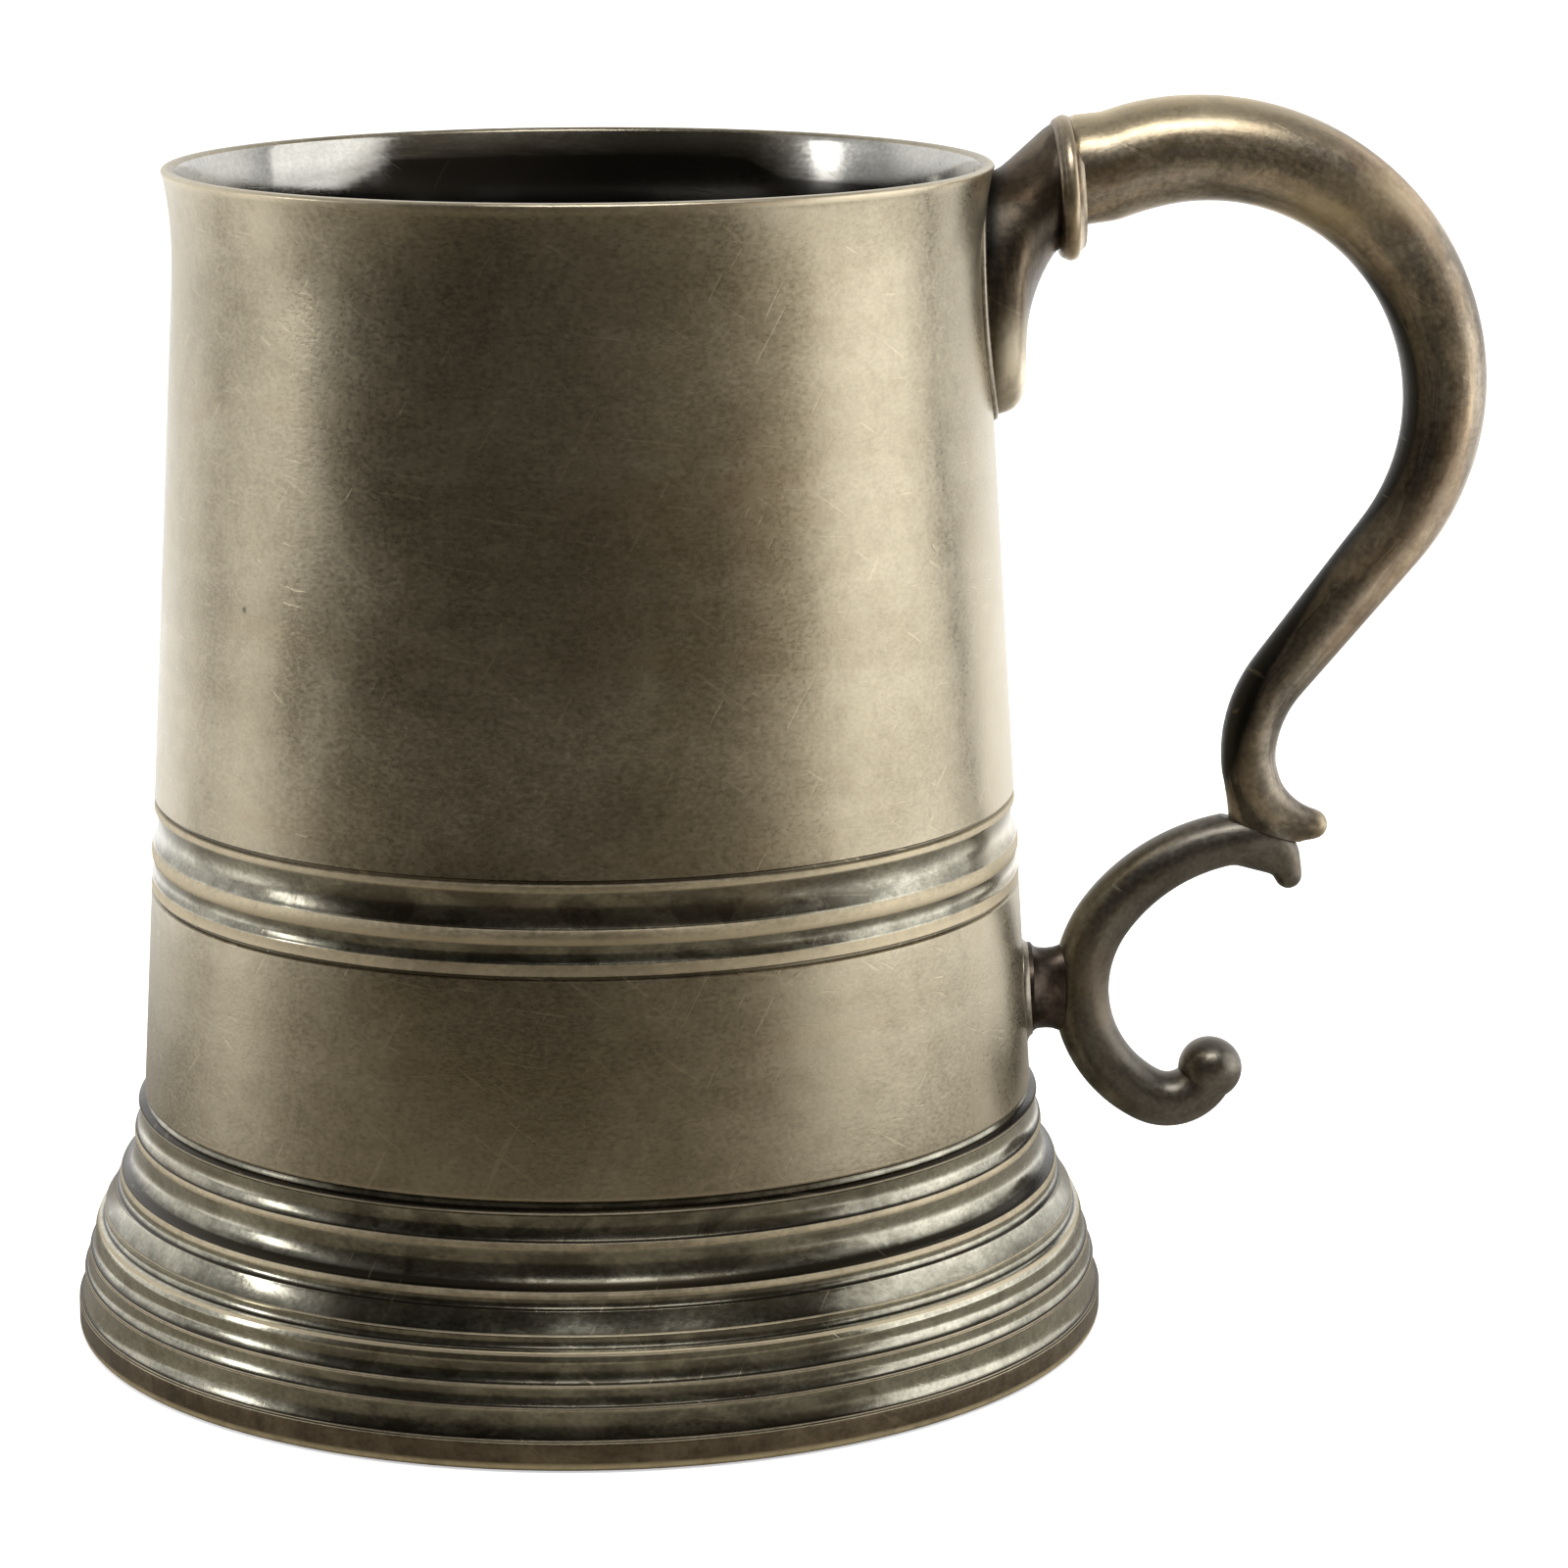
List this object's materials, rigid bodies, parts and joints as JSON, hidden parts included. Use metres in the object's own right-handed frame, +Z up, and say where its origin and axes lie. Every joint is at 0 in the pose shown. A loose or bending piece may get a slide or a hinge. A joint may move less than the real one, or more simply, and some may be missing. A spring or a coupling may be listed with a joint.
{
  "type": "glass-bottom tankard",
  "caption": "Tapered metal drinking tankard with a flared lip, a moulded band, a stepped hollow foot, a clear glass bottom and a double-scroll side handle with a ball end.",
  "frame": {"origin": "on the drum's axis, in the plane of the table that the foot stands on", "axes": "+Z up along the drum's axis, +X from the axis towards the handle, +Y to the left of the handle"},
  "size_m": [0.1466, 0.1074, 0.1265],
  "materials": {
    "drum_metal": "aged satin pewter, fine vertical grain, mottled and nicked",
    "foot_metal": "aged pewter, dark hollows and edges worn pale",
    "handle_metal": "dark aged pewter, smooth from handling",
    "strut_metal": "tarnished red-brown pewter",
    "solder": "dull pale solder",
    "bedding": "matt hard putty",
    "glass": "clear polished plate glass with a faint green tint"
  },
  "bodies": {
    "root": {"body_drum": "drum_metal", "foot_skirt": "foot_metal", "foot_solder": "solder", "glass_disc": "glass", "glass_bedding": "bedding", "retaining_ring": "foot_metal", "handle_socket": "handle_metal", "socket_solder": "solder", "handle_collar": "handle_metal", "upper_scroll": "handle_metal", "lower_scroll": "handle_metal", "ball_finial": "handle_metal", "handle_strut": "strut_metal", "strut_solder": "solder"}
  },
  "joints": []
}
